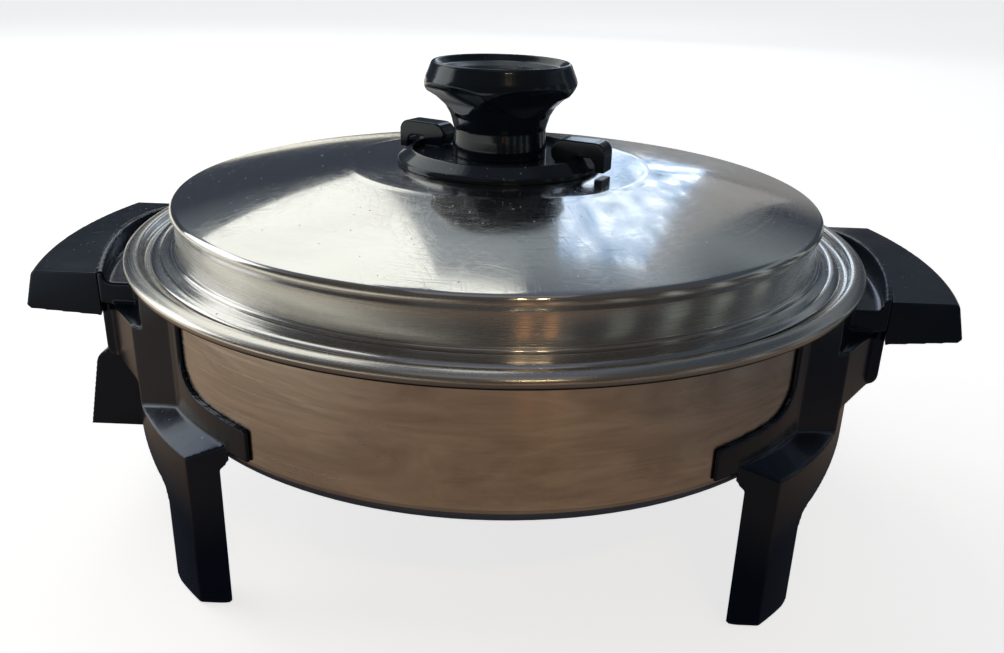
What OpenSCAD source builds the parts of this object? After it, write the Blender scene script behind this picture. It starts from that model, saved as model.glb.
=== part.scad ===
// Round electric skillet on four moulded legs, with a lift-off lid.
// Millimetres, +Z up. The legs stand on z = 0, the side grips lie along X.

/* [Pan] */
// Inside radius of the cooking pan
pan_r = 137.5; // [110:0.5:160]
// Depth from the lid seat down to the cooking floor
pan_depth = 42.7; // [30:0.1:70]
// Sheet thickness of the pan
pan_t = 1.5; // [1:0.1:2.5]
// Radius of the bend between the pan's floor and wall
pan_bend = 12; // [6:0.5:20]
// Width of the channel in the rim that the lid sits in
channel_w = 14; // [11:0.5:18]
// Width of the flat lip outside the channel
lip_w = 6; // [4:0.5:10]
// Height of the lip above the channel
step_h = 3.5; // [2:0.1:6]
// Height of the rim's turned-down edge
edge_h = 5.5; // [3:0.1:9]

/* [Base] */
// Height of the base's underside above the table
stand_h = 61.5; // [50:0.5:90]
// Air gap between the pan's wall and the outer wall
wall_gap = 7.5; // [6:0.1:12]
// Sheet thickness of the outer wall
jacket_t = 1; // [0.6:0.1:2]
// Radius of the outer wall's lower bend
jacket_bend = 7; // [4:0.5:12]
// Width of the outer wall's turned-in floor
jacket_turn = 14; // [9:0.5:20]
// Sheet thickness of the bottom cover
cover_t = 1; // [0.6:0.1:2]
// Thickness of the gasket under the pan's rim
gasket_t = 1; // [0.5:0.1:2]

/* [Heating] */
// Thickness of the aluminium heat plate
plate_t = 5; // [4:0.5:12]
// Radius of the heat plate
plate_r = 126; // [105:0.5:130]
// Radius of the heating element's centre line
element_ring_r = 98; // [70:0.5:105]
// Radius of the element's tube
element_r = 3.5; // [2.5:0.1:4]
// Height of the flat side of the tube above its centre
element_flat = 2; // [1:0.1:2.4]
// Thickness of the insulation pad
pad_t = 1.2; // [0.8:0.1:3]
// Half the distance between the two terminal pins
pin_half = 14; // [12:0.5:18]
// Radius of a terminal pin
pin_r = 2.4; // [1.5:0.1:3]
// Bore radius of the thermostat probe's sleeve
sleeve_bore = 3.2; // [2:0.1:3.4]
// Wall of the probe's sleeve
sleeve_t = 0.7; // [0.4:0.1:1]
// How far the pins stand out of the terminal block
pin_out = 12; // [6:0.5:14]

/* [Brackets] */
// Thickness of the bracket's wall in the skirt and legs
skirt_t = 8.5; // [6:0.5:9.5]
// Thickness of the bracket's thin flange against the outer wall
flange_t = 1.5; // [1:0.1:3]
// Width of the sloping ledge at the foot of the thin flange
ledge_w = 10; // [8:0.5:13]
// Width of the thin flange that shows beside the column
flange_w = 6; // [3:0.5:10]
// Half the width across a bracket's pair of legs
leg_half = 117; // [105:0.5:122]
// Width of a leg, front face to back face
leg_w = 15.5; // [11:0.5:20]
// Height of the arch between the legs at its crown
arch_z = 59; // [50:0.5:61]
// Height of the skirt's lower edge beside the legs
skirt_z = 45; // [35:0.5:50]
// Radius of the feet's rounded outer edge
foot_round = 2; // [1:0.5:4]
// Radius of the feet's rounded inner corners
heel_round = 5; // [2:0.5:8]
// Half the width of the column at the outer wall
column_half = 88.5; // [80:0.5:94]
// Half the width of the thin flange's foot band
band_half = 124; // [120:0.5:130]
// Height of the thin flange's foot band
band_h = 13; // [9:0.5:16]
// Drop of the handle shelf below the pan's rim
shelf_drop = 13.5; // [12:0.1:18]
// Thickness of the shelf's front rail
rail_t = 9; // [6:0.5:14]
// Height of the handle carrier under the shelf
hub_h = 34; // [26:0.5:40]
// Height of the curved guard ridge above the shelf, at its middle
ridge_h = 9.5; // [4:0.5:11]
// Thickness of the guard ridge
ridge_t = 2.6; // [2:0.1:5]
// How far the guard ridge's outer face stands out beyond the skirt
ridge_out = 10.9; // [8:0.1:20]

/* [Grips] */
// Radial width of a side grip at its top
grip_w = 25.4; // [18:0.5:40]
// Half the length of a side grip
grip_half = 55; // [45:0.5:60]
// Thickness of a side grip at its outer edge
grip_t = 16.6; // [11:0.5:20]
// How much thicker a grip is at its root
grip_root = 2; // [0:0.5:5]
// How far a grip's outer face flares out towards the bottom
grip_flare = 4; // [0:0.1:6]
// Drop of the grip's top face below the pan's rim
grip_drop = 9.5; // [7:0.5:12]

/* [Socket hood] */
// Half the width of the hood round the heat-control socket
hood_half = 46; // [38:0.5:50]
// Height of the hood
hood_h = 36; // [30:0.5:40]
// How far the hood stands out from the bracket at its top
hood_out = 11.5; // [9:0.5:20]
// How much further out the hood reaches at its bottom
hood_flare = 6; // [0:0.5:10]
// Wall thickness of the hood
hood_t = 3; // [2:0.1:4]

/* [Lid] */
// Sheet thickness of the lid
lid_t = 1.2; // [0.8:0.1:2]
// Height of the lid's shoulder above its seat
shoulder_h = 19.6; // [14:0.1:30]
// Rise of the dome from shoulder to centre plateau
dome_h = 13.9; // [6:0.5:24]
// Radius of the flat centre plateau
plateau_r = 68.5; // [60:0.5:76]
// Outward bulge of the shoulder beyond the side band
shoulder_out = 2.4; // [1:0.1:4]
// Clearance between the lid's edge and the rim's step
lid_clear = 1.8; // [1:0.1:2.5]

/* [Knob] */
// Height of the knob above the hook plate
knob_h = 39.5; // [28:0.1:50]
// Radius of the knob's stem
stem_r = 20.5; // [18:0.1:21]
// Radius of the knob's widest ridge
knob_r = 33; // [29:0.1:36]
// Radius of the knob's top edge
knob_top_r = 29.8; // [25:0.1:31]
// Depth of the dish in the knob's top
dish_h = 5; // [2:0.5:7]
// Number of finger scallops under the ridge
scallops = 5; // [3:1:6]
// Radius of a finger scallop
scallop_r = 15.5; // [12:0.5:17]
// Direction of the first scallop, in degrees from +X
scallop_dir = -62; // [-90:1:90]

/* [Vent ring and hooks] */
// Outer radius of the bevelled vent ring
ring_r = 44.5; // [42:0.1:45.5]
// Height of the vent ring
ring_h = 6.2; // [5:0.1:7]
// Height of the ring's upright edge below its bevel
ring_edge = 2.4; // [1.5:0.1:3.5]
// Radius at the top of the ring's bevel
bevel_r = 38.6; // [37:0.1:40]
// Inner radius of the ring's foot
ring_foot_r = 29; // [26:0.5:30]
// Thickness of the ring's foot
ring_foot_t = 1.8; // [1.2:0.1:2.4]
// Thickness of the plate over the ring's foot
hook_plate_t = 1.5; // [1:0.1:2]
// Radial reach of the hooks
hook_r = 50.3; // [49.5:0.1:52]
// Width of a hook
hook_w = 10; // [7:0.5:14]
// Height of the hooks above the lid's plateau
hook_h = 13.8; // [12.5:0.1:16]
// Thickness of a hook's outer finger
hook_t = 4; // [3:0.1:4.5]
// Direction of the first hook, in degrees from +X
hook_dir = -23; // [-45:1:45]
// Turn from the first hook to the second, in degrees
hook_turn = 174; // [160:1:180]
// Radius of a vent hole
vent_r = 1.6; // [1:0.1:2]
// Thickness of the seal washer under the hook plate
seal_t = 0.8; // [0.5:0.1:1.5]

/* [Fasteners] */
// Radius of the screws in the brackets and grips
screw_r = 2.4; // [2:0.1:3]
// Radius of the screw heads in the brackets and grips
head_r = 4.4; // [3.5:0.1:5]
// Radius of the knob's screw
knob_screw_r = 3; // [2:0.1:3.4]
// Radius of the stud in the heat plate
stud_r = 3; // [2:0.1:4]

/* [Clearances] */
// Gap between fixed pieces that fit together
fit = 0.1; // [0.05:0.05:0.3]
// Gap between pieces that move past each other
run = 0.4; // [0.3:0.05:0.6]

/* [Hidden] */
$fn = 96;
fine = 0.01;

// Heights, from the table upwards
cover_z = stand_h + jacket_t;
pad_z = cover_z + cover_t;
element_z = pad_z + pad_t + fit + element_r;
plate_z = element_z + element_flat;
pan_under_z = plate_z + plate_t;
floor_z = pan_under_z + pan_t;
seat_z = floor_z + pan_depth;
rim_z = seat_z + step_h;
gasket_z = seat_z - pan_t - gasket_t;
band_z = stand_h + jacket_bend;
band_top_z = band_z + band_h;
shelf_z = rim_z - shelf_drop;
hub_z = shelf_z - hub_h;
grip_z = rim_z - grip_drop;
plateau_z = seat_z + shoulder_h + dome_h;
lid_under_z = plateau_z - lid_t;
hook_plate_z = plateau_z + seal_t;
hook_top_z = plateau_z + ring_foot_t + 0.3 + hook_plate_t;
knob_z = hook_top_z;
knob_top_z = knob_z + knob_h;

// Radii, from the middle outwards
channel_r = pan_r + channel_w;
lip_in_r = channel_r + 1.5;
rim_r = lip_in_r + lip_w;
pan_out_r = pan_r + pan_t;
jacket_in_r = pan_out_r + wall_gap;
jacket_r = jacket_in_r + jacket_t;
bracket_in_r = jacket_r + fit;
flange_r = bracket_in_r + flange_t;
skirt_in_r = flange_r - 0.7;
skirt_r = flange_r + ledge_w;
leg_in_r = skirt_r - skirt_t;
ridge_r = skirt_r + ridge_out;
lid_r = channel_r - lid_clear;
lid_band_r = pan_r - 0.3;
shoulder_r = lid_band_r + shoulder_out;
ridge_in_r = ridge_r - ridge_t;
grip_in_r = ridge_r + fit;
grip_r = grip_in_r + grip_w;
element_bend = 12;
element_off = pin_half + element_bend;
element_x = sqrt(pow(element_ring_r + element_bend, 2) - pow(element_off, 2));
element_a = atan2(element_off, element_x);
joint_a = 0.4;
collar_l = 7;
element_end = sqrt(pow(jacket_r, 2) - pow(pin_half + element_r, 2)) - fit;

// Socket
sleeve_r = sleeve_bore + sleeve_t;
block_half = pin_half + 8;
block_low = 7;
block_high = 5.5;
block_x = skirt_r - 2.5;
sleeve_end = 62;
hood_top_z = hub_z - fit;
hood_low_z = hood_top_z - hood_h;

// Screws, and the distance inside the brackets at which their bores start
bore_start = bracket_in_r - 18;
upper_screw_drop = 17;
lower_screw_drop = 26;
bracket_screws = [[14, shelf_z - upper_screw_drop], [29, shelf_z - lower_screw_drop]];
bracket_screw_l = 10;
grip_screw_y = 30;
grip_screw_drop = 9;
grip_screw_z = grip_z - grip_screw_drop;
grip_bite = 6.4;
grip_screw_l = ridge_r - skirt_in_r + grip_bite;
hood_screw_in = 7;
hood_screw_y = hood_half - hood_screw_in;
hood_screw_rise = 7.7;
hood_screw_z = arch_z + hood_screw_rise;
head_h = 2.6;

// Points on an arc round [x, z] from angle a0 to angle a1
function arc(x, z, r, a0, a1, n = 6) =
    [for (i = [0:n]) [x + r * cos(a0 + (a1 - a0) * i / n), z + r * sin(a0 + (a1 - a0) * i / n)]];

function unit(v) = v / norm(v);

// Step from a path's point i to the parallel path one unit to its left
function side(p, i) =
    let (j = max(i, 1), k = min(i, len(p) - 2), d0 = unit(p[j] - p[j - 1]), d1 = unit(p[k + 1] - p[k]))
    [-d0[1] - d1[1], d0[0] + d1[0]] / (1 + d0 * d1);

// Closed outline of a sheet whose one face is the path p, t thick on its right-hand side
function sheet(p, t) =
    concat(p, [for (i = [len(p) - 1:-1:0]) p[i] - t * side(p, i)]);

function mirror_y(p) = concat(p, [for (i = [len(p) - 1:-1:0]) [-p[i][0], p[i][1]]]);

module both_sides() {
    children();
    mirror([0, 1, 0]) children();
}

// A bar along X whose section is the outline p in the YZ plane
module along_x(p, x0, x1) {
    translate([x0, 0, 0]) rotate([90, 0, 90]) linear_extrude(x1 - x0) polygon(p);
}

// A cylinder from radius r0 to r1 along the direction a, at height z
module radial_rod(a, z, r0, r1, r) {
    rotate([0, 0, a]) translate([r0, 0, z]) rotate([0, 90, 0]) cylinder(r = r, h = r1 - r0);
}

// ---- Pan ----

// Inside face of the pan from the centre to the rim's turned-down edge
pan_face = concat(
    [[0, floor_z], [pan_r - pan_bend, floor_z]],
    arc(pan_r - pan_bend, floor_z + pan_bend, pan_bend, -80, 0, 6),
    [[pan_r, seat_z - 2.5]],
    arc(pan_r + 2, seat_z - 2, 2, 180, 90, 4),
    [[channel_r - 1, seat_z]],
    [[channel_r + 0.2, seat_z + 0.6], [lip_in_r - 0.4, rim_z - 0.5]],
    [[lip_in_r + 0.6, rim_z], [rim_r - 2, rim_z]],
    arc(rim_r - 2, rim_z - 2, 2, 75, 0, 4),
    [[rim_r - 1.2, rim_z - edge_h]]);

module pan() {
    color("silver") rotate_extrude() polygon(sheet(pan_face, pan_t));
}

module rim_gasket() {
    color("dimgray") translate([0, 0, gasket_z]) difference() {
        cylinder(r = jacket_r, h = gasket_t);
        translate([0, 0, -1]) cylinder(r = jacket_in_r - 3, h = gasket_t + 2);
    }
}

// ---- Base ----

// Outside face of the outer wall, from its top edge down and in to its floor
jacket_face = concat(
    [[jacket_in_r - 3, gasket_z], [jacket_r, gasket_z]],
    arc(jacket_r - jacket_bend, stand_h + jacket_bend, jacket_bend, 0, -90, 8),
    [[jacket_r - jacket_turn, stand_h]]);

module jacket() {
    color("silver") difference() {
        rotate_extrude() polygon(sheet(jacket_face, jacket_t));
        // Holes for the two pins, the probe's sleeve and the bracket screws
        for (y = [-pin_half, 0, pin_half])
            translate([-jacket_r - 2, y, element_z]) rotate([0, 90, 0])
                cylinder(r = element_r + 1.2, h = 12);
        for (s = bracket_screws, m = [-1, 1], b = [0, 180])
            radial_rod(b + m * s[0], s[1], jacket_in_r - 4, jacket_r + 2, screw_r + fit);
    }
}

module bottom_cover() {
    cover_r = jacket_r - jacket_bend - 1;
    color("gray") translate([0, 0, cover_z]) difference() {
        cylinder(r = cover_r, h = cover_t);
        translate([0, 0, -1]) cylinder(r = stud_r + 0.5, h = cover_t + 2);
        // Ring of cooling slots near the edge
        for (a = [0:30:330])
            rotate([0, 0, a]) translate([jacket_r - jacket_turn - 10, -6, -1])
                cube([4, 12, cover_t + 2]);
    }
}

module insulation_pad() {
    color("white") translate([0, 0, pad_z]) difference() {
        cylinder(r = plate_r - 5, h = pad_t);
        translate([0, 0, -1]) cylinder(r = stud_r + 4, h = pad_t + 2);
        // Slot under the probe's sleeve
        translate([-plate_r, -sleeve_r - 1, -1])
            cube([plate_r - sleeve_end + 2, 2 * sleeve_r + 2, pad_t + 2]);
    }
}

module cover_stud() {
    color("silver") translate([0, 0, cover_z - 7]) union() {
        cylinder(r = stud_r, h = plate_z + 3 - cover_z + 7);
        translate([0, 0, pad_z - cover_z + 7 + fit]) cylinder(r = stud_r + 3, h = plate_z - pad_z - fit);
    }
}

module cover_washer() {
    color("silver") translate([0, 0, cover_z - 1.2]) difference() {
        cylinder(r = 9, h = 1.2);
        translate([0, 0, -1]) cylinder(r = stud_r + 0.3, h = 4);
    }
}

module cover_nut() {
    color("silver") translate([0, 0, cover_z - 5.8]) difference() {
        cylinder(r = stud_r * 1.9, h = 4.6, $fn = 6);
        translate([0, 0, -1]) cylinder(r = stud_r + fit / 2, h = 8);
    }
}

// ---- Heating ----

// Section of the element's tube, flat on top where it lies against the heat plate
function tube_section(r) = concat([[r, element_flat]], arc(0, 0, r, 0, -180, 8), [[-r, element_flat]]);

// A C-shaped run whose ends bend outwards to the pins, with a collar over each joint
module heating_element() {
    ring_a = element_a + joint_a;
    color("dimgray") translate([0, 0, element_z]) {
        rotate([0, 0, ring_a - 180]) rotate_extrude(angle = 360 - 2 * ring_a)
            translate([element_ring_r, 0]) polygon(tube_section(element_r));
        both_sides() {
            rotate([0, 0, 180 - element_a]) translate([element_ring_r, collar_l / 2, 0])
                rotate([90, 0, 0]) linear_extrude(collar_l) polygon(tube_section(element_r + fit));
            translate([-element_x, element_off, 0]) rotate([0, 0, -90])
                rotate_extrude(angle = 90 - element_a - 5 * joint_a) translate([element_bend, 0])
                    polygon(tube_section(element_r));
            translate([-element_end, pin_half, 0]) rotate([90, 0, 90])
                linear_extrude(element_end - element_x) polygon(tube_section(element_r));
        }
    }
}

module heat_plate() {
    color("lightgray") difference() {
        translate([0, 0, plate_z]) cylinder(r = plate_r, h = plate_t);
        translate([-plate_r - 1, 0, element_z]) rotate([0, 90, 0])
            cylinder(r = sleeve_r + fit, h = plate_r + 2 - sleeve_end);
        translate([0, 0, plate_z - 1]) cylinder(r = stud_r + fit, h = 4.1);
    }
}

module terminal_block() {
    color("ivory") difference() {
        intersection() {
            translate([-block_x, -block_half, element_z - block_low])
                cube([block_x - jacket_r + 12, 2 * block_half, block_low + block_high]);
            difference() {
                cylinder(r = block_x + 10, h = 200);
                translate([0, 0, -1]) cylinder(r = jacket_r + fit, h = 202);
            }
        }
        for (y = [-pin_half, pin_half])
            translate([-block_x - 1, y, element_z]) rotate([0, 90, 0])
                cylinder(r = pin_r + fit, h = 20);
        translate([-block_x - 1, 0, element_z]) rotate([0, 90, 0])
            cylinder(r = sleeve_r + fit, h = 20);
    }
}

module terminal_pins() {
    color("silver") both_sides() translate([-block_x - pin_out, pin_half, element_z])
        rotate([0, 90, 0]) union() {
            cylinder(r1 = pin_r - 0.8, r2 = pin_r, h = 0.8);
            translate([0, 0, 0.8]) cylinder(r = pin_r, h = block_x + pin_out - element_end - 0.8);
        }
}

module probe_sleeve() {
    sleeve_l = block_x + 2 - sleeve_end;
    color("silver") translate([-block_x - 2, 0, element_z]) rotate([0, 90, 0]) difference() {
        cylinder(r = sleeve_r, h = sleeve_l);
        translate([0, 0, -1]) cylinder(r = sleeve_bore, h = sleeve_l - 1);
    }
}

// ---- Brackets, drawn for the +X side ----

// Outline in YZ of the thin flange: an upright sheet that spreads into a foot band
flange_top = seat_z - pan_t - fit;
flange_half = column_half + flange_w;
flange_bend = 12;
flange_outline = mirror_y(concat(
    [[band_half, band_z]],
    arc(band_half - 2, band_top_z - 2, 2, 0, 90, 3),
    [[flange_half + flange_bend, band_top_z + 1.5]],
    arc(flange_half + flange_bend, band_top_z + 1.5 + flange_bend, flange_bend, -95, -180, 6),
    [[flange_half, flange_top]]));
flange_a = asin(band_half / flange_r);

// Outline in YZ of skirt and legs: arch between the legs, rounded feet
leg_in = leg_half - leg_w;
arch_run = leg_in - 8;
arch_rise = arch_z - skirt_z;
arch_rad = (arch_run * arch_run + arch_rise * arch_rise) / (2 * arch_rise);
arch_half_a = asin(arch_run / arch_rad);
frame_outline = mirror_y(concat(
    arc(0, arch_z - arch_rad, arch_rad, 90, 90 - arch_half_a, 8),
    arc(leg_in - 8, skirt_z - 8, 8, 90, 0, 5),
    arc(leg_in + heel_round, heel_round, heel_round, 180, 268, 5),
    arc(leg_half - 3, 3, 3, -90, 0, 4),
    [[leg_half, rim_z]]));

// Section of skirt and legs: rounded foot below, bevelled ledge above
ledge_low_z = stand_h + 4;
ledge_high_z = band_top_z - 10;
skirt_section = concat(
    arc(leg_in_r + 3.5, 3.5, 3.5, 180, 268, 4),
    arc(skirt_r - foot_round, foot_round, foot_round, -90, 0, 6),
    [[skirt_r, ledge_low_z], [flange_r, ledge_high_z], [skirt_in_r, ledge_high_z]],
    [[skirt_in_r, ledge_low_z], [leg_in_r, ledge_low_z - 4]]);

// Section of the handle carrier: column, overhanging hub, shelf and guard ridge
hub_section = concat(
    [[skirt_in_r, ledge_low_z - 2], [skirt_r - 0.02, ledge_low_z - 2], [skirt_r - 0.02, hub_z]],
    arc(ridge_r - 4, hub_z + 4, 4, -90, 0, 5),
    [[ridge_r, rim_z + 5], [ridge_in_r, rim_z + 5]],
    [[ridge_in_r, shelf_z + 3]],
    arc(ridge_in_r - 3, shelf_z + 3, 3, 0, -90, 4),
    [[skirt_in_r, shelf_z]]);

// Plan of the column and hub below the shelf: slanted side faces
column_y = column_half - 12;
column_plan = [[60, column_half], [sqrt(flange_r * flange_r - column_half * column_half), column_half],
    [sqrt(skirt_r * skirt_r - column_y * column_y), column_y],
    [sqrt(ridge_r * ridge_r - grip_half * grip_half) - 3, grip_half - 3], [240, grip_half - 3],
    [240, 3 - grip_half], [sqrt(ridge_r * ridge_r - grip_half * grip_half) - 3, 3 - grip_half],
    [sqrt(skirt_r * skirt_r - column_y * column_y), -column_y],
    [sqrt(flange_r * flange_r - column_half * column_half), -column_half], [60, -column_half]];

// Crest of the guard ridge: an arch in YZ that runs down to the grip's ends
ridge_z = shelf_z + ridge_h;
ridge_end_z = grip_z + 0.5;
ridge_rise = max(ridge_z - ridge_end_z, 0.5);
ridge_rad = (grip_half * grip_half + ridge_rise * ridge_rise) / (2 * ridge_rise);
ridge_a = asin(grip_half / ridge_rad);
ridge_outline = concat(
    arc(0, ridge_z - ridge_rad, ridge_rad, 90 + ridge_a, 90 - ridge_a, 10),
    [[grip_half, shelf_z - rail_t], [-grip_half, shelf_z - rail_t]]);

module bracket(with_socket) {
    difference() {
        union() {
            intersection() {
                difference() {
                    cylinder(r = flange_r, h = flange_top);
                    translate([0, 0, -1]) cylinder(r = bracket_in_r, h = flange_top + 2);
                }
                along_x(flange_outline, 20, 200);
                // Radial cuts end the foot band
                linear_extrude(flange_top) polygon([[0, 0], [400 * cos(flange_a), 400 * sin(flange_a)],
                    [400 * cos(flange_a), -400 * sin(flange_a)]]);
            }
            intersection() {
                rotate_extrude() polygon(skirt_section);
                along_x(frame_outline, 20, 200);
            }
            intersection() {
                rotate_extrude() polygon(hub_section);
                translate([0, 0, ledge_low_z - 2]) linear_extrude(shelf_z - rail_t - ledge_low_z + 2)
                    polygon(column_plan);
            }
            intersection() {
                rotate_extrude() polygon(hub_section);
                along_x(ridge_outline, 20, 200);
            }
            // Column's top, tucked under the rim and no further out than the grip's seat
            intersection() {
                difference() {
                    cylinder(r = min(rim_r - 3, ridge_r), h = flange_top);
                    translate([0, 0, -1]) cylinder(r = skirt_in_r, h = flange_top + 2);
                }
                translate([0, 0, shelf_z - rail_t - 1]) linear_extrude(flange_top)
                    polygon(column_plan);
            }
        }
        for (s = bracket_screws, m = [-1, 1])
            radial_rod(m * s[0], s[1], bracket_in_r - 2, jacket_in_r + bracket_screw_l + 0.3, screw_r + fit / 4);
        for (y = [-grip_screw_y, grip_screw_y])
            translate([0, y, grip_screw_z]) rotate([0, 90, 0]) {
                translate([0, 0, bore_start]) cylinder(r = screw_r + fit, h = ridge_r - bore_start + 5);
                translate([0, 0, bore_start]) cylinder(r = head_r + fit, h = skirt_in_r - bore_start + 3);
            }
        if (with_socket) {
            translate([bore_start, -block_half - fit, element_z - block_low - 20])
                cube([block_x - bore_start + 10, 2 * block_half + 2 * fit, block_low + block_high + 20 + fit]);
            for (y = [-hood_screw_y, hood_screw_y])
                translate([bore_start, y, hood_screw_z]) rotate([0, 90, 0]) {
                    cylinder(r = screw_r + fit, h = ridge_r - bore_start);
                    cylinder(r = head_r + fit, h = sqrt(pow(skirt_in_r, 2) - y * y) - bore_start + 4);
                }
        }
    }
}

module right_bracket() {
    color("#1c1c1e") bracket(false);
}

module left_bracket() {
    color("#1c1c1e") mirror([1, 0, 0]) bracket(true);
}

// ---- Grips ----

grip_section = [[grip_in_r, grip_z - grip_t - grip_root], [grip_r + grip_flare - 1.5, grip_z - grip_t],
    [grip_r + grip_flare, grip_z - grip_t + 1.5], [grip_r + 0.5, grip_z - 1.2],
    [grip_r - 0.8, grip_z], [grip_in_r, grip_z]];

module grip() {
    difference() {
        intersection() {
            rotate_extrude() polygon(grip_section);
            translate([20, -grip_half, 0]) cube([220, 2 * grip_half, 200]);
        }
        for (y = [-grip_screw_y, grip_screw_y])
            translate([bore_start, y, grip_screw_z]) rotate([0, 90, 0])
                cylinder(r = screw_r + fit / 4, h = skirt_in_r + grip_screw_l - bore_start + 0.5);
    }
}

module right_grip() {
    color("#202022") grip();
}

module left_grip() {
    color("#202022") mirror([1, 0, 0]) grip();
}

// ---- Screws ----

// Round-headed screw along +X, its head's seat at the origin
module screw(r, head, l) {
    rotate([0, 90, 0]) {
        cylinder(r = r, h = l);
        translate([0, 0, -head_h]) difference() {
            cylinder(r1 = head * 0.8, r2 = head, h = head_h);
            translate([-head, -0.6, -1]) cube([2 * head, 1.2, 1.9]);
        }
    }
}

module bracket_screws() {
    color("silver") for (s = bracket_screws, m = [-1, 1], b = [0, 180])
        rotate([0, 0, b + m * s[0]]) translate([jacket_in_r - 0.05, 0, s[1]])
            screw(screw_r, head_r, bracket_screw_l);
}

module grip_screws() {
    color("silver") for (y = [-grip_screw_y, grip_screw_y], b = [0, 1])
        mirror([b, 0, 0]) translate([skirt_in_r + 3, y, grip_screw_z])
            screw(screw_r, head_r, grip_screw_l - 3);
}

// ---- Socket hood, drawn for the +X side ----

hood_x0 = skirt_r - 12;
hood_x1 = skirt_r + hood_out;
hood_x2 = hood_x1 + hood_flare;

// Side view of the hood in XZ, rounded at its upper outer corner
function hood_side(inset, x0) = concat(
    [[x0, hood_low_z + inset], [hood_x2 + (inset > 0 ? 5 : 0), hood_low_z + inset]],
    inset > 0 ? [[hood_x2 + 5, hood_top_z - inset]] :
        arc(hood_x1 - 7, hood_top_z - 7, 7, 10, 90, 6),
    [[x0, hood_top_z - inset]]);

module hood_prism(inset, x0) {
    translate([0, hood_half - inset, 0]) rotate([90, 0, 0])
        linear_extrude(2 * (hood_half - inset)) polygon(hood_side(inset, x0));
}

module socket_hood() {
    color("#1c1c1e") mirror([1, 0, 0]) difference() {
        union() {
            difference() {
                hood_prism(0, hood_x0);
                hood_prism(hood_t, hood_x0 - 1);
            }
            // Bosses in the upper corners take the screws
            for (y = [-hood_screw_y, hood_screw_y])
                translate([hood_x0, y, hood_screw_z]) rotate([0, 90, 0])
                    cylinder(r = screw_r + 2.6, h = hood_x1 - hood_x0 - 6);
        }
        translate([0, 0, hood_low_z - 1]) cylinder(r = skirt_r + fit, h = hood_h + 2);
        for (y = [-hood_screw_y, hood_screw_y])
            translate([hood_x0 - 20, y, hood_screw_z]) rotate([0, 90, 0])
                cylinder(r = screw_r + fit / 4, h = 20 + hood_x1 - hood_x0 - 8);
    }
}

module hood_screws() {
    color("silver") for (y = [-hood_screw_y, hood_screw_y]) {
        seat = sqrt(pow(skirt_in_r, 2) - y * y) + 4;
        mirror([1, 0, 0]) translate([seat, y, hood_screw_z])
            screw(screw_r, head_r, hood_x1 - 9 - seat);
    }
}

// ---- Lid ----

// Dome height at radius r, a cap that flattens towards the plateau
shoulder_bend = 4;
dome_edge_r = shoulder_r - 0.79 * shoulder_bend;
dome_edge_z = seat_z + shoulder_h;
dome_z0 = plateau_z - 0.8;
function dome(r) = dome_edge_z + (dome_z0 - dome_edge_z)
    * (1 - (r * r - plateau_r * plateau_r) / (dome_edge_r * dome_edge_r - plateau_r * plateau_r));
dome_slope = atan(2 * dome_edge_r * (dome_z0 - dome_edge_z)
    / (dome_edge_r * dome_edge_r - plateau_r * plateau_r));

// Bend of the lid's rolled edge, whose lower corner rests in the rim's channel
edge_bend = 4.6;
edge_a = 46;
edge_step = (110 - edge_a) / 4;
edge_bend_z = seat_z + 0.05 - edge_bend * sin(edge_a) + lid_t * sin(edge_a + edge_step / 2);

// Outside face of the lid from the screw hole to the rolled edge
lid_face = concat(
    [[knob_screw_r + 0.3, plateau_z], [plateau_r - 1.2, plateau_z]],
    [for (i = [0:9]) let (r = plateau_r + (dome_edge_r - plateau_r) * i / 10) [r, dome(r)]],
    arc(dome_edge_r - shoulder_bend * sin(dome_slope), dome_edge_z - shoulder_bend * cos(dome_slope),
        shoulder_bend, 90 - dome_slope, -20, 7),
    [[lid_band_r + 0.5, dome_edge_z - 8.5], [lid_band_r, dome_edge_z - 12]],
    [[lid_band_r + 0.4, seat_z + 5.8]],
    arc(lid_band_r + 0.6, seat_z + 3.6, 1.8, 50, -30, 4),
    [[lid_band_r + 4.2, seat_z + 2.1], [lid_band_r + 6, seat_z + 1.5], [lid_band_r + 7, seat_z + lid_t + 0.3]],
    arc(lid_r - 4, edge_bend_z, edge_bend, 110, edge_a, 4));

module lid_shell() {
    color("silver") difference() {
        rotate_extrude() polygon(sheet(lid_face, lid_t));
        for (a = [hook_dir + 90, hook_dir + 270])
            rotate([0, 0, a]) translate([(ring_foot_r + bevel_r) / 2, 0, lid_under_z - 1])
                cylinder(r = vent_r, h = lid_t + 2);
    }
}

module seal_washer() {
    color("#8a4b2a") translate([0, 0, plateau_z]) difference() {
        cylinder(r = ring_foot_r - 2, h = seal_t);
        translate([0, 0, -1]) cylinder(r = knob_screw_r + fit, h = seal_t + 2);
    }
}

module vent_ring() {
    ring_in_r = bevel_r - 1;
    color("#1a1a1c") translate([0, 0, plateau_z]) difference() {
        rotate_extrude() polygon([[ring_foot_r, 0], [ring_r, 0], [ring_r, ring_edge - 0.4],
            [ring_r - 0.4, ring_edge], [bevel_r, ring_h], [ring_in_r, ring_h],
            [ring_in_r, ring_foot_t], [ring_foot_r, ring_foot_t]]);
        for (a = [hook_dir + 90, hook_dir + 270])
            rotate([0, 0, a]) translate([(ring_foot_r + bevel_r) / 2, 0, -1])
                cylinder(r = vent_r + 0.2, h = ring_foot_t + 2);
    }
}

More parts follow.
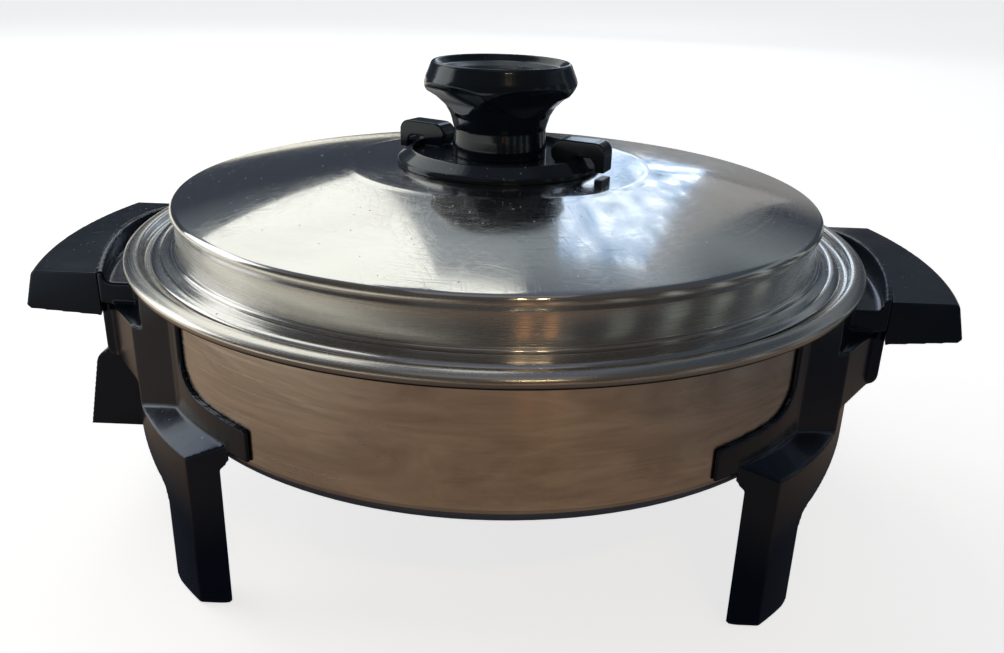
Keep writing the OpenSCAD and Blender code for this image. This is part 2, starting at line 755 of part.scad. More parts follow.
// Section of a hook in RZ, from the plate's top over the ring and down outside it
hook_inner = hook_r - hook_t;
function hook_section() = concat(
    [[32, hook_top_z - plateau_z - 1]],
    arc(31.6, hook_h - 5.4, 5.4, 225, 90, 8),
    arc(hook_r - 4.5, hook_h - 4.5, 4.5, 90, 0, 5),
    [[hook_r, 1.4], [hook_inner, 1.4], [hook_inner, ring_edge + 0.6]],
    arc(hook_inner - 5, ring_edge + 0.4, 5, 10, 62, 4),
    [[bevel_r + 0.4, ring_h + 1], [bevel_r - 1 - run, ring_h + 0.8]],
    [[bevel_r - 1 - run, hook_top_z - plateau_z - 1]]);

module hook_plate() {
    plate_edge = bevel_r - 1 - run;
    color("#1a1a1c") translate([0, 0, plateau_z]) difference() {
        union() {
            translate([0, 0, ring_foot_t + 0.3])
                cylinder(r = plate_edge, h = hook_top_z - plateau_z - ring_foot_t - 0.3);
            translate([0, 0, seal_t])
                cylinder(r = ring_foot_r - run, h = hook_top_z - plateau_z - seal_t);
            for (a = [hook_dir, hook_dir + hook_turn])
                rotate([0, 0, a]) translate([0, hook_w / 2, 0]) rotate([90, 0, 0])
                    linear_extrude(hook_w) polygon(hook_section());
        }
        cylinder(r = knob_screw_r + fit, h = 20);
    }
}

// Outside of the knob from its foot to its dished top
knob_section = concat(
    [[0, 0], [stem_r, 0], [stem_r, 4]],
    [[stem_r - 0.4, 8], [stem_r - 0.5, 11.5], [stem_r + 1.1, knob_h - 22.3]],
    [[stem_r + 3.6, knob_h - 18], [knob_r - 4.6, knob_h - 14.2], [knob_r - 1, knob_h - 12.3]],
    [[knob_r, knob_h - 10.4], [knob_r, knob_h - 8.9], [knob_r - 0.6, knob_h - 6.5]],
    [[knob_top_r + 0.3, knob_h - 0.9], [knob_top_r - 0.6, knob_h]],
    [[knob_top_r - 1.5, knob_h - 0.2], [knob_top_r - 4, knob_h - dish_h * 0.55]],
    [[knob_top_r - 9, knob_h - dish_h * 0.88], [0, knob_h - dish_h]]);

insert_r = 6;
insert_h = 14;

module knob() {
    color("#1a1a1c") translate([0, 0, knob_z]) difference() {
        rotate_extrude() polygon(knob_section);
        for (i = [0:scallops - 1])
            rotate([0, 0, scallop_dir + i * 360 / scallops])
                translate([stem_r + scallop_r + 2, 40, knob_h - 22.5]) rotate([90, 0, 0])
                    cylinder(r = scallop_r, h = 80);
        translate([0, 0, -1]) cylinder(r = insert_r + fit / 2, h = insert_h + 1 + fit);
    }
}

module knob_insert() {
    color("gold") translate([0, 0, knob_z]) difference() {
        cylinder(r = insert_r, h = insert_h);
        translate([0, 0, -1]) cylinder(r = knob_screw_r + fit / 2, h = insert_h - 1);
    }
}

module screw_washer() {
    color("silver") translate([0, 0, lid_under_z - 1]) difference() {
        cylinder(r = 9, h = 1);
        translate([0, 0, -1]) cylinder(r = knob_screw_r + fit, h = 3);
    }
}

module knob_screw() {
    head_z = lid_under_z - 1;
    color("silver") translate([0, 0, head_z]) union() {
        cylinder(r = knob_screw_r, h = knob_z + insert_h - 3 - head_z);
        translate([0, 0, -3]) difference() {
            cylinder(r1 = 4.6, r2 = 6, h = 3);
            translate([-7, -0.7, -1]) cube([14, 1.4, 2.2]);
        }
    }
}

pan();
rim_gasket();
jacket();
heat_plate();
heating_element();
insulation_pad();
bottom_cover();
cover_stud();
cover_washer();
cover_nut();
terminal_block();
terminal_pins();
probe_sleeve();
left_bracket();
right_bracket();
left_grip();
right_grip();
bracket_screws();
grip_screws();
socket_hood();
hood_screws();
lid_shell();
seal_washer();
vent_ring();
hook_plate();
knob();
knob_insert();
knob_screw();
screw_washer();
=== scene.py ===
"""Looks of a round electric skillet: spun stainless pan and lid on black moulded brackets."""

import math

import bpy
import numpy as np
from mathutils import Matrix, Vector


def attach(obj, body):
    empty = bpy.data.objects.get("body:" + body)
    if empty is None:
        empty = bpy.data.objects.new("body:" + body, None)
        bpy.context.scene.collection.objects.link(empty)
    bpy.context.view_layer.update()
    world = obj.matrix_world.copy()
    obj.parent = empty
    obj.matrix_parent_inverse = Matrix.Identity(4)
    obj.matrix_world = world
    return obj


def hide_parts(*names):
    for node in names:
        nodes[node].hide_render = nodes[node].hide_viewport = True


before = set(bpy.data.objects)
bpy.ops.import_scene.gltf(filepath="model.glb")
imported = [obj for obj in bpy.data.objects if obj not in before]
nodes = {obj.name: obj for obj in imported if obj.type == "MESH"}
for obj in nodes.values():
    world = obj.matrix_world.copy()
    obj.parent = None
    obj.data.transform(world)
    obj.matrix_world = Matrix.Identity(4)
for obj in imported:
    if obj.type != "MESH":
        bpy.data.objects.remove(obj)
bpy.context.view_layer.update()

# ---- Pan ----
# A cooking pan deep-drawn from 1.5 mm stainless sheet. Its rim is pressed into a
# channel that the lid sits in, a raised lip outside it and a turned-down edge.
# The inside is turned on a lathe, so fine rings run round it; the rim is satin.

# The sizes of the pan and of the lid are in millimetres. Sharp corners are rounded by the
# _EDGE length; a mesh has a row of points every _ROW along the outline, _AROUND in each.
PAN_RADIUS, PAN_SHEET, PAN_CORNER = 137.5, 1.5, 12
PAN_FLOOR, LID_SEAT, RIM_TOP = 76.8, 119.5, 123.0
CHANNEL_RADIUS, LIP_RADIUS, RIM_RADIUS = 151.5, 153.0, 159.0
MOUTH_BEND, LIP_CROWN, RIM_ROLL, RIM_SKIRT = 2, 6, 2, 5.5
LIP_START, LIP_END = 98, 52
PAN_EDGE, PAN_ROW, PAN_AROUND = 0.5, 2.6, 288


def arc(x, z, radius, start, stop, steps=8):
    """Points (x + radius cos a, z + radius sin a) for evenly spaced angles a in degrees."""
    a = np.radians(np.linspace(start, stop, steps + 1))
    return np.column_stack([x + radius * np.cos(a), z + radius * np.sin(a)])


def sheet(face, thickness):
    """Closed outline of a bent sheet: its face, then the path one thickness to the right.

    With n0 and n1 the left normals before and after a corner, the corner moves by
    the mitre (n0 + n1) / (1 + n0 . n1) times the thickness.
    """
    face = np.vstack(face).astype(float)
    along = np.diff(face, axis=0)
    along /= np.linalg.norm(along, axis=1)[:, None]
    left = np.column_stack([-along[:, 1], along[:, 0]])
    before, after = np.vstack([left[:1], left]), np.vstack([left, left[-1:]])
    step = (before + after) / (1 + (before * after).sum(1))[:, None]
    return np.vstack([face, (face - thickness * step)[::-1]])


def rounded(outline, radius, steps=4):
    """Outline with each corner b as the curve (1-t)^2 a + 2t(1-t) b + t^2 c.

    The points a and c lie on the corner's two sides, a radius away from it or 45% of
    the side, whichever is less. A corner that turns by less than 9 degrees stays as it is.
    """
    back = np.roll(outline, 1, axis=0) - outline
    on = np.roll(outline, -1, axis=0) - outline
    long_back, long_on = np.linalg.norm(back, axis=1), np.linalg.norm(on, axis=1)
    sharp = (back * on).sum(1) / (long_back * long_on) > -math.cos(math.radians(9))
    reach = np.where(sharp, radius, 0.0)
    a = outline + back * np.minimum(reach / long_back, 0.45)[:, None]
    c = outline + on * np.minimum(reach / long_on, 0.45)[:, None]
    t = np.linspace(0, 1, steps + 1)[None, :, None]
    curve = (1 - t) ** 2 * a[:, None] + 2 * t * (1 - t) * outline[:, None] + t**2 * c[:, None]
    return curve.reshape(-1, 2)


def divided(path, longest):
    """The same path with extra points at every multiple of a length along it.

    Repeated points and points less than 0.02 mm after another are left out.
    """
    run = np.concatenate([[0], np.cumsum(np.linalg.norm(np.diff(path, axis=0), axis=1))])
    fresh = np.concatenate([[True], np.diff(run) > 1e-6])
    path, run = path[fresh], run[fresh]
    marks = np.unique(np.round(np.concatenate([run, np.arange(0, run[-1], longest)]), 5))
    marks = marks[np.concatenate([[True], np.diff(marks) > 0.02])]
    return np.column_stack([np.interp(marks, run, path[:, k]) for k in (0, 1)])


def turned(name, outline, around):
    """Surface turned round Z: (r cos a, r sin a, z) for each outline point (r, z), in mm.

    An outline that starts and ends on the axis closes in two poles; any other outline
    closes on itself.
    """
    a = np.linspace(0, 2 * np.pi, around, endpoint=False)
    poles = outline[[0, -1]] if outline[0, 0] < 1e-6 else None
    ring = outline[outline[:, 0] > 1e-6]
    rows = len(ring)
    points = np.stack([ring[:, :1] * np.cos(a), ring[:, :1] * np.sin(a),
                       np.repeat(ring[:, 1:], around, axis=1)], axis=-1).reshape(-1, 3)
    k = np.arange(around)
    on = (k + 1) % around
    row = np.arange(rows - 1 if poles is not None else rows)[:, None]
    nxt = (row + 1) % rows
    quads = np.stack([row * around + k, nxt * around + k, nxt * around + on, row * around + on],
                     axis=-1)
    faces = quads.reshape(-1, 4).tolist()
    if poles is not None:
        points = np.vstack([points, [[0, 0, poles[0, 1]], [0, 0, poles[1, 1]]]])
        first, end, rim = rows * around, rows * around + 1, (rows - 1) * around
        faces += np.column_stack([k, on, np.full(around, first)]).tolist()
        faces += np.column_stack([rim + on, rim + k, np.full(around, end)]).tolist()
    mesh = bpy.data.meshes.new(name)
    mesh.from_pydata((points / 1000).tolist(), [], faces)
    mesh.shade_smooth()
    piece = bpy.data.objects.new(name, mesh)
    bpy.context.scene.collection.objects.link(piece)
    return piece


def add(tree, kind, sockets=None, **settings):
    """A shader node with its settings; a socket takes a plain value or another node's output."""
    made = tree.nodes.new("ShaderNode" + kind)
    for key, value in settings.items():
        setattr(made, key, value)
    for key, value in (sockets or {}).items():
        if isinstance(value, bpy.types.NodeSocket):
            tree.links.new(value, made.inputs[key])
        else:
            made.inputs[key].default_value = value
    return made


def math_of(tree, operation, a, b=0.0, clamp=False):
    """One arithmetic step in a shader tree, held to 0..1 if clamp is set."""
    return add(tree, "Math", {0: a, 1: b}, operation=operation, use_clamp=clamp).outputs[0]


def product(tree, first, *others):
    """Numbers multiplied together, one after another."""
    for other in others:
        first = math_of(tree, "MULTIPLY", first, other)
    return first


def total(tree, first, *others, clamp=False):
    """Numbers added up, one after another; clamp holds the sum to 0..1."""
    for k, other in enumerate(others, 1):
        first = math_of(tree, "ADD", first, other, clamp=clamp and k == len(others))
    return first


def between(tree, value, low, high, to_low=0.0, to_high=1.0):
    """A value mapped from low..high to another range, held at its ends."""
    return add(tree, "MapRange", {"Value": value, "From Min": low, "From Max": high,
                                  "To Min": to_low, "To Max": to_high}).outputs[0]


def blended(tree, share, a, b):
    """Colour a turning into colour b by a share from 0 to 1."""
    return add(tree, "Mix", {0: share, 6: a, 7: b}, data_type="RGBA").outputs[2]


def axes(tree, vector):
    """The X, Y and Z of a vector."""
    return add(tree, "SeparateXYZ", {0: vector}).outputs


def from_axis(tree, parts):
    """The vector (x, y, 0) that leads from the Z axis to a point, and its length."""
    flat = add(tree, "CombineXYZ", {"X": parts["X"], "Y": parts["Y"]}).outputs[0]
    return flat, add(tree, "VectorMath", {0: flat}, operation="LENGTH").outputs["Value"]


def looks_up(tree):
    """The height of a face's normal: 1 facing up, 0 upright, -1 facing down."""
    return axes(tree, add(tree, "NewGeometry").outputs["Normal"])["Z"]


def noise(tree, at, scale, detail, **more):
    """Cloudy noise from 0 to 1, read at a point times a scale."""
    sockets = {"Vector": at, "Scale": scale, "Detail": detail, **more}
    return add(tree, "TexNoise", sockets).outputs["Fac"]


def raised(tree, shader, height, distance, strength=1.0):
    """A bump on a shader: a height times a distance in metres."""
    bump = add(tree, "Bump", {"Height": height, "Strength": strength, "Distance": distance})
    tree.links.new(bump.outputs[0], shader.inputs["Normal"])


def effect(name, takes, gives):
    """An empty node group with named number or vector sockets, and its ends."""
    tree = bpy.data.node_groups.new(name, "ShaderNodeTree")
    for label, value in takes.items():
        kind = "NodeSocketVector" if value is None else "NodeSocketFloat"
        made = tree.interface.new_socket(label, in_out="INPUT", socket_type=kind)
        if value is not None:
            made.default_value = value
    for label in gives:
        tree.interface.new_socket(label, in_out="OUTPUT", socket_type="NodeSocketFloat")
    return tree, tree.nodes.new("NodeGroupInput").outputs, tree.nodes.new("NodeGroupOutput").inputs


def place(tree, group, sockets):
    """One use of a node group in a material."""
    return add(tree, "Group", sockets, node_tree=group).outputs


# Fine rings from turning and polishing: noise that is stretched round the Z axis. It is
# read at (x/r, y/r) times a small number and at r - z times a large one.
rings, given, out = effect(
    "turning_rings", {"Vector": None, "Around": 3.0, "Across": 3000.0}, ["Value"])
split = axes(rings, given["Vector"])
flat, radius = from_axis(rings, split)
unit = add(rings, "VectorMath", {0: flat}, operation="NORMALIZE").outputs[0]
wide = add(rings, "VectorMath", {0: unit, 3: given["Around"]}, operation="SCALE").outputs[0]
run = product(rings, math_of(rings, "SUBTRACT", radius, split["Z"]), given["Across"])
across = add(rings, "CombineXYZ", {"Z": run}).outputs[0]
spot = add(rings, "VectorMath", {0: wide, 1: across}, operation="ADD").outputs[0]
rings.links.new(noise(rings, spot, 1.0, 2.0, Roughness=0.6), out["Value"])

# Wiping scratches: three crossed layers of long thin noise, each bent by a slow noise so
# that the strokes curve, and cut down to their thin peaks, on faces that look up.
STROKE_BEND, STROKE_ANGLES, STROKE_PEAK = 0.035, (0.35, 1.3, 2.45), 0.12
strokes, given, out = effect(
    "wiping_scratches", {"Vector": None, "Length": 90.0, "Width": 3200.0, "Few": 0.66}, ["Mask"])
slow = {"Vector": given["Vector"], "Scale": 14.0, "Detail": 1.0}
bend = add(strokes, "TexNoise", slow).outputs["Color"]
bend = add(strokes, "VectorMath", {0: bend, 3: STROKE_BEND}, operation="SCALE").outputs[0]
bent = add(strokes, "VectorMath", {0: given["Vector"], 1: bend}, operation="ADD").outputs[0]
most = None
for angle in STROKE_ANGLES:
    turn = add(strokes, "VectorRotate", {"Vector": bent, "Angle": angle}, rotation_type="Z_AXIS")
    part = axes(strokes, turn.outputs[0])
    thin = add(strokes, "CombineXYZ", {
        "X": product(strokes, part["X"], given["Length"]),
        "Y": product(strokes, part["Y"], given["Width"]),
        "Z": product(strokes, part["Z"], given["Length"])}).outputs[0]
    peak = math_of(strokes, "SUBTRACT", noise(strokes, thin, 1.0, 1.0), given["Few"])
    line = math_of(strokes, "DIVIDE", peak, STROKE_PEAK, clamp=True)
    most = line if most is None else math_of(strokes, "MAXIMUM", most, line)
upward = between(strokes, looks_up(strokes), 0.5, 0.9)
strokes.links.new(product(strokes, most, upward), out["Mask"])

# Dust: small round specks in a share of the cells of a Voronoi pattern, only on faces
# that look up, and a thin film between them.
dust, given, out = effect(
    "settled_dust", {"Vector": None, "Cells": 520.0, "Share": 0.06, "Size": 0.22},
    ["Specks", "Film"])
cell = add(dust, "TexVoronoi", {"Vector": given["Vector"], "Scale": given["Cells"]})
tone = axes(dust, cell.outputs["Color"])
kept = math_of(dust, "LESS_THAN", tone["X"], given["Share"])
size = product(dust, given["Size"], total(dust, tone["Y"], 0.3))
speck = product(dust, kept, math_of(dust, "LESS_THAN", cell.outputs["Distance"], size))
upward = between(dust, looks_up(dust), 0.55, 0.95)
film = between(dust, noise(dust, given["Vector"], 45.0, 5.0, Roughness=0.65), 0.42, 0.72)
dust.links.new(product(dust, speck, upward), out["Specks"])
dust.links.new(product(dust, film, upward), out["Film"])


def finish(name, colour, metallic, roughness, **sockets):
    """A new material with one Principled shader, given back with the material's tree, the
    shader and the Object coordinates; further sockets take their plain values."""
    material = bpy.data.materials.new(name)
    material.use_nodes = True
    tree = material.node_tree
    shader = tree.nodes["Principled BSDF"]
    shader.inputs["Base Color"].default_value = (*colour, 1)
    shader.inputs["Metallic"].default_value = metallic
    shader.inputs["Roughness"].default_value = roughness
    for key, value in sockets.items():
        shader.inputs[key.replace("_", " ")].default_value = value
    return material, tree, shader, add(tree, "TexCoord").outputs["Object"]


def steel(name, colour, stain, roughness, rough_range, ring_depth, scratch_depth,
          anisotropy=0.0, few=0.66, across=3000.0, blot=9.0, tall=3.2, wavy=0.9, detail=6.0,
          dusty=0.05, upright=0.0, low=0.0, seam_shade_height=0.0):
    """Turned and wiped stainless steel.

    Roughness rises by shares of rings, stains, scratches and dust, and by the step upright
    on upright faces. Colour drifts between clean and stained in clouds of a scale (blot)
    and a detail, flattened by tall and bent by wavy. Rings and scratches lift the surface
    by their depths in metres; across is the rings' number per metre, few thins the
    scratches out, and dusty is the share of cells with a speck. Below the height low, in
    metres, the sheet is satin; below the last height given, more than 0.15 m from the
    axis, the colour turns dark brown: a painted shadow, the dark line under the rim's
    turned-down edge.
    """
    speck_grey, seam_shade_colour = (0.62, 0.61, 0.59, 1), (0.03, 0.022, 0.016, 1)
    material, tree, shader, here = finish(name, colour, 1.0, roughness, Anisotropic=anisotropy,
                                          Anisotropic_Rotation=0.25)
    at = axes(tree, here)
    ring = place(tree, rings, {"Vector": here, "Across": across})["Value"]
    scratch = place(tree, strokes, {"Vector": here, "Few": few})["Mask"]
    specks = place(tree, dust, {"Vector": here, "Share": dusty, "Cells": 760.0})["Specks"]
    flattened = add(tree, "Mapping", {"Vector": here, "Scale": (1.0, 1.0, tall)}).outputs[0]
    smear = noise(tree, flattened, blot, detail, Roughness=0.62, Distortion=wavy)
    smear = between(tree, smear, 0.36, 0.68)
    tint = blended(tree, smear, (*colour, 1), (*stain, 1))
    tint = blended(tree, specks, tint, speck_grey)
    # Painted shadow: far from the axis and below a height the colour turns dark, for the shade at
    # the rim's lower edge.
    if seam_shade_height:
        outside = math_of(tree, "GREATER_THAN", from_axis(tree, at)[1], 0.15)
        seam_shade_mask = product(tree, outside, between(tree, at["Z"], seam_shade_height - 0.0004, seam_shade_height, 0.9, 0.0))
        tint = blended(tree, seam_shade_mask, tint, seam_shade_colour)
    tree.links.new(tint, shader.inputs["Base Color"])
    steep = math_of(tree, "ABSOLUTE", looks_up(tree))
    rough = [between(tree, ring, 0.44, 0.74, roughness, roughness + rough_range),
             product(tree, scratch, 0.10), between(tree, steep, 0.2, 0.75, upright, 0.0)]
    if low:
        rough.append(between(tree, at["Z"], low - 0.001, low, 0.05, 0.0))
    rough += [product(tree, smear, 0.04), product(tree, specks, 0.5)]
    tree.links.new(total(tree, *rough, clamp=True), shader.inputs["Roughness"])
    tree.links.new(math_of(tree, "SUBTRACT", 1.0, specks), shader.inputs["Metallic"])
    lift = total(tree, product(tree, ring, ring_depth), product(tree, scratch, -scratch_depth))
    raised(tree, shader, lift, 1.0)
    return material


def dress(obj, material):
    """Give a piece its one material."""
    obj.data.materials.clear()
    obj.data.materials.append(material)


# From the middle outwards: floor, corner and wall, mouth, channel, lip and rolled edge.
pan_face = np.vstack([
    [[0, PAN_FLOOR], [PAN_RADIUS - PAN_CORNER, PAN_FLOOR]],
    arc(PAN_RADIUS - PAN_CORNER, PAN_FLOOR + PAN_CORNER, PAN_CORNER, -80, 0, 10),
    [[PAN_RADIUS, LID_SEAT - 2.5]],
    arc(PAN_RADIUS + MOUTH_BEND, LID_SEAT - MOUTH_BEND, MOUTH_BEND, 180, 90, 6),
    [[CHANNEL_RADIUS - 1, LID_SEAT], [CHANNEL_RADIUS + 0.2, LID_SEAT + 0.6],
     [LIP_RADIUS - 0.4, RIM_TOP - 0.5]],
    arc(LIP_RADIUS + 1.5, RIM_TOP - LIP_CROWN, LIP_CROWN, LIP_START, LIP_END, 8)[:-1],
    arc(RIM_RADIUS - 2.03, RIM_TOP - 2.85, RIM_ROLL, LIP_END, 0, 6),
    [[RIM_RADIUS - 1.2, RIM_TOP - RIM_SKIRT]]])
soft = rounded(sheet(pan_face, PAN_SHEET)[1:-1], PAN_EDGE)
pan_outline = np.vstack([[[0, PAN_FLOOR]], soft, [[0, PAN_FLOOR - PAN_SHEET]]])
pan = turned("pan_shell", divided(pan_outline, PAN_ROW), PAN_AROUND)
# The lower edge of the rim is painted dark, a painted shadow line against the outer wall.
pan_steel = steel("satin_stainless", (0.66, 0.64, 0.605), (0.57, 0.545, 0.505),
                  roughness=0.18, rough_range=0.14, ring_depth=6e-7, scratch_depth=1.5e-6,
                  anisotropy=0.6, upright=0.06, seam_shade_height=(LID_SEAT - 0.8) / 1000)
dress(pan, pan_steel)
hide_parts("pan")
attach(pan, "base")

# ---- Rim gasket ----
# A flat ring of grey silicone rubber between the pan's rim and the outer wall, held by
# the rim's own weight; moulded, so it is matt with a fine bloom.

RUBBER_DARK, RUBBER_BLOOM = (0.07, 0.07, 0.075, 1), (0.13, 0.13, 0.135, 1)
gasket_rubber, tree, shader, here = finish("gasket_rubber", (0.09, 0.09, 0.095),
                                           metallic=0.0, roughness=0.62)
bloom = noise(tree, here, 160.0, 4.0)
tree.links.new(blended(tree, bloom, RUBBER_DARK, RUBBER_BLOOM), shader.inputs["Base Color"])
tree.links.new(between(tree, bloom, 0.3, 0.7, 0.55, 0.75), shader.inputs["Roughness"])
dress(nodes["rim_gasket"], gasket_rubber)

# ---- Outer wall and bottom cover ----
# The wall is rolled and drawn from 1 mm stainless, wiped with a cloth for years, so that
# soft smears lie on it; its warm brown, clean and smeared alike, is in part a painted
# reflection of the brown table it mirrors. The cover below is a plain pressed disc of plated
# steel.

wall_steel_painted_warm = steel("wiped_stainless_painted_warm", (0.67, 0.62, 0.57), (0.47, 0.42, 0.375),
                   roughness=0.17, rough_range=0.10, ring_depth=1.5e-7, scratch_depth=0.0,
                   anisotropy=0.75, few=0.70, across=900.0, blot=13.0, tall=4.2, wavy=1.9,
                   detail=4.0, dusty=0.0)
dress(nodes["jacket"], wall_steel_painted_warm)
cover_steel = steel("pressed_cover", (0.52, 0.52, 0.51), (0.36, 0.34, 0.31),
                    roughness=0.34, rough_range=0.08, ring_depth=2e-6, scratch_depth=8e-6,
                    few=0.64, dusty=0.0)
dress(nodes["bottom_cover"], cover_steel)

# ---- Fastenings ----
# Stud, washers, nut and screws are turned or headed from steel wire and zinc plated:
# bluish grey, with the plating duller in patches.


def plated(name, colour, dull, roughness):
    """Thin plating on small steel parts: colour and roughness drift in patches."""
    material, tree, shader, here = finish(name, colour, 1.0, roughness)
    patch = noise(tree, here, 420.0, 4.0)
    tint = blended(tree, between(tree, patch, 0.4, 0.65), (*colour, 1), (*dull, 1))
    rough = between(tree, patch, 0.3, 0.7, roughness, roughness + 0.2)
    tree.links.new(tint, shader.inputs["Base Color"])
    tree.links.new(rough, shader.inputs["Roughness"])
    raised(tree, shader, patch, 2e-5, strength=0.4)
    return material


zinc = plated("zinc_plating", (0.58, 0.60, 0.63), (0.40, 0.41, 0.42), roughness=0.28)
for name in ("cover_stud", "cover_washer", "cover_nut", "bracket_screws", "grip_screws",
             "hood_screws", "knob_screw", "screw_washer"):
    dress(nodes[name], zinc)

# ---- Heating ----
# Cast aluminium heat plate, sheathed C-shaped element, mineral pad, ceramic terminal
# block with two plated pins, and the plated sleeve for the thermostat's probe.

aluminium = steel("cast_aluminium", (0.62, 0.62, 0.62), (0.45, 0.44, 0.43),
                  roughness=0.42, rough_range=0.12, ring_depth=8e-6, scratch_depth=8e-6,
                  dusty=0.0)
dress(nodes["heat_plate"], aluminium)
sheath = plated("element_sheath", (0.16, 0.145, 0.135), (0.07, 0.065, 0.06), roughness=0.45)
dress(nodes["heating_element"], sheath)
pins = plated("plated_pins", (0.70, 0.69, 0.66), (0.52, 0.50, 0.46), roughness=0.18)
dress(nodes["terminal_pins"], pins)
dress(nodes["probe_sleeve"], pins)


def mineral(name, light, dark, scale, depth):
    """Matt fired or pressed mineral with a fine grain, which lifts it by a depth in metres."""
    material, tree, shader, here = finish(name, light, 0.0, 0.8)
    grain = noise(tree, here, scale, 6.0, Roughness=0.7)
    tree.links.new(blended(tree, grain, (*dark, 1), (*light, 1)), shader.inputs["Base Color"])
    tree.links.new(between(tree, grain, 0.3, 0.7, 0.9, 0.6), shader.inputs["Roughness"])
    raised(tree, shader, grain, depth, strength=0.5)
    return material


pad = mineral("mineral_pad", (0.80, 0.78, 0.72), (0.55, 0.52, 0.46), scale=240.0, depth=2e-4)
dress(nodes["insulation_pad"], pad)
ceramic = mineral("fired_ceramic", (0.84, 0.80, 0.72), (0.70, 0.65, 0.56), scale=500.0,
                  depth=4e-5)
dress(nodes["terminal_block"], ceramic)

# ---- Brackets, grips and hood ----
# Black phenolic, hot-pressed in a mould: two brackets with their legs, two side grips
# and the hood round the socket. Edges are rounded by the mould, broad faces are glossy
# with a faint ripple, and dust lies on what faces up.

BRACKET_GRID, BRACKET_SHARE, GRIP_GRID = 0.0006, 0.55, 0.0005
JET_BLACK = (0.005, 0.009, 0.019)


def phenolic(name, colour, roughness, film, specks, ripple=1.5e-5, sheen=(0.50, 0.68, 1.0)):
    """Glossy black moulding: rippled, lightly scratched, dusty on its upward faces.

    The film of dust and its specks are shares from 0 to 1, the ripple is in metres, and
    the sheen tints what the surface mirrors.
    """
    film_grey, speck_grey = (0.26, 0.28, 0.30, 1), (0.50, 0.49, 0.47, 1)
    scratch_grey = (0.30, 0.30, 0.30, 1)
    material, tree, shader, here = finish(name, colour, 0.0, roughness,
                                          Specular_Tint=(*sheen, 1),
                                          Coat_Weight=0.08, Coat_Roughness=0.08)
    settled = place(tree, dust, {"Vector": here, "Share": specks, "Cells": 600.0})
    scratch = place(tree, strokes, {"Vector": here, "Few": 0.72, "Width": 1700.0})["Mask"]
    wave = noise(tree, here, 60.0, 3.0)
    haze = product(tree, settled["Film"], film)
    tint = blended(tree, haze, (*colour, 1), film_grey)
    tint = blended(tree, settled["Specks"], tint, speck_grey)
    tint = blended(tree, product(tree, scratch, 0.12), tint, scratch_grey)
    tree.links.new(tint, shader.inputs["Base Color"])
    rough = total(tree, between(tree, wave, 0.3, 0.7, roughness, roughness + 0.07),
                  product(tree, haze, 1.2), product(tree, scratch, 0.2), clamp=True)
    tree.links.new(rough, shader.inputs["Roughness"])
    lift = math_of(tree, "SUBTRACT", wave, product(tree, scratch, 0.3))
    raised(tree, shader, lift, ripple)
    return material


def moulded(name, grid_size, passes, share=1.0):
    """Round a node's edges as a mould does.

    Its triangles are welded, remeshed on a grid of cubes of a size in metres, relaxed a
    few times, and thinned to a share of them where they lie flat.
    """
    obj = nodes[name]
    weld = obj.modifiers.new("weld", "WELD")
    weld.merge_threshold = 2e-6
    grid = obj.modifiers.new("grid", "REMESH")
    grid.mode = "VOXEL"
    grid.voxel_size = grid_size
    grid.use_smooth_shade = True
    relax = obj.modifiers.new("relax", "SMOOTH")
    relax.factor = 0.5
    relax.iterations = passes
    if share < 1.0:
        thin = obj.modifiers.new("thin", "DECIMATE")
        thin.ratio = share
    return obj


bracket_black = phenolic("pressed_phenolic", JET_BLACK, roughness=0.14, film=0.04, specks=0.03)
grip_black = phenolic("grip_phenolic", JET_BLACK, roughness=0.12, film=0.02, specks=0.03)
for name in ("left_bracket", "right_bracket"):
    dress(moulded(name, BRACKET_GRID, passes=2, share=BRACKET_SHARE), bracket_black)
for name in ("left_grip", "right_grip"):
    dress(moulded(name, GRIP_GRID, passes=2), grip_black)
dress(moulded("socket_hood", GRIP_GRID, passes=2), bracket_black)

# ---- Lid ----
# Spun from 1.2 mm stainless and polished: flat centre, shallow dome, rounded shoulder,
# upright band, a bead, and a flange whose edge rests in the rim's channel. Cloths and
# scourers have left curved strokes all over the dome.

LID_SHEET, LID_BORE, PLATEAU_RADIUS, PLATEAU_TOP = 1.2, 3.3, 68.5, 153.0
BAND_RADIUS, SHOULDER_RADIUS, EDGE_RADIUS = 138.3, 139.6, 149.7
BEND, BEND_END, BEAD = 2.9, -34, 1.25
EDGE_BEND, EDGE_ANGLE, EDGE_STEP = 4.6, 46.0, 16.0
DOME_LOW, DOME_HIGH, DOME_ROWS = LID_SEAT + 21.9, PLATEAU_TOP - 0.4, 70
DOME_RADIUS = SHOULDER_RADIUS - 0.79 * BEND
LID_EDGE, LID_ROW, LID_AROUND = 0.45, 3.5, 232

# The dome falls by a share (r^2 - a^2) / (b^2 - a^2) from the plateau's radius a to its
# own radius b; the lean is the angle of its slope there, where the shoulder's bend begins.
r = np.linspace(PLATEAU_RADIUS, DOME_RADIUS, DOME_ROWS)
span = DOME_RADIUS**2 - PLATEAU_RADIUS**2
fall = (r**2 - PLATEAU_RADIUS**2) / span
dome = np.column_stack([r, DOME_LOW + (DOME_HIGH - DOME_LOW) * (1 - fall)])
lean = math.atan(2 * DOME_RADIUS * (DOME_HIGH - DOME_LOW) / span)
edge_bend_z = (LID_SEAT + 0.05 - EDGE_BEND * math.sin(math.radians(EDGE_ANGLE))
               + LID_SHEET * math.sin(math.radians(EDGE_ANGLE + EDGE_STEP / 2)))
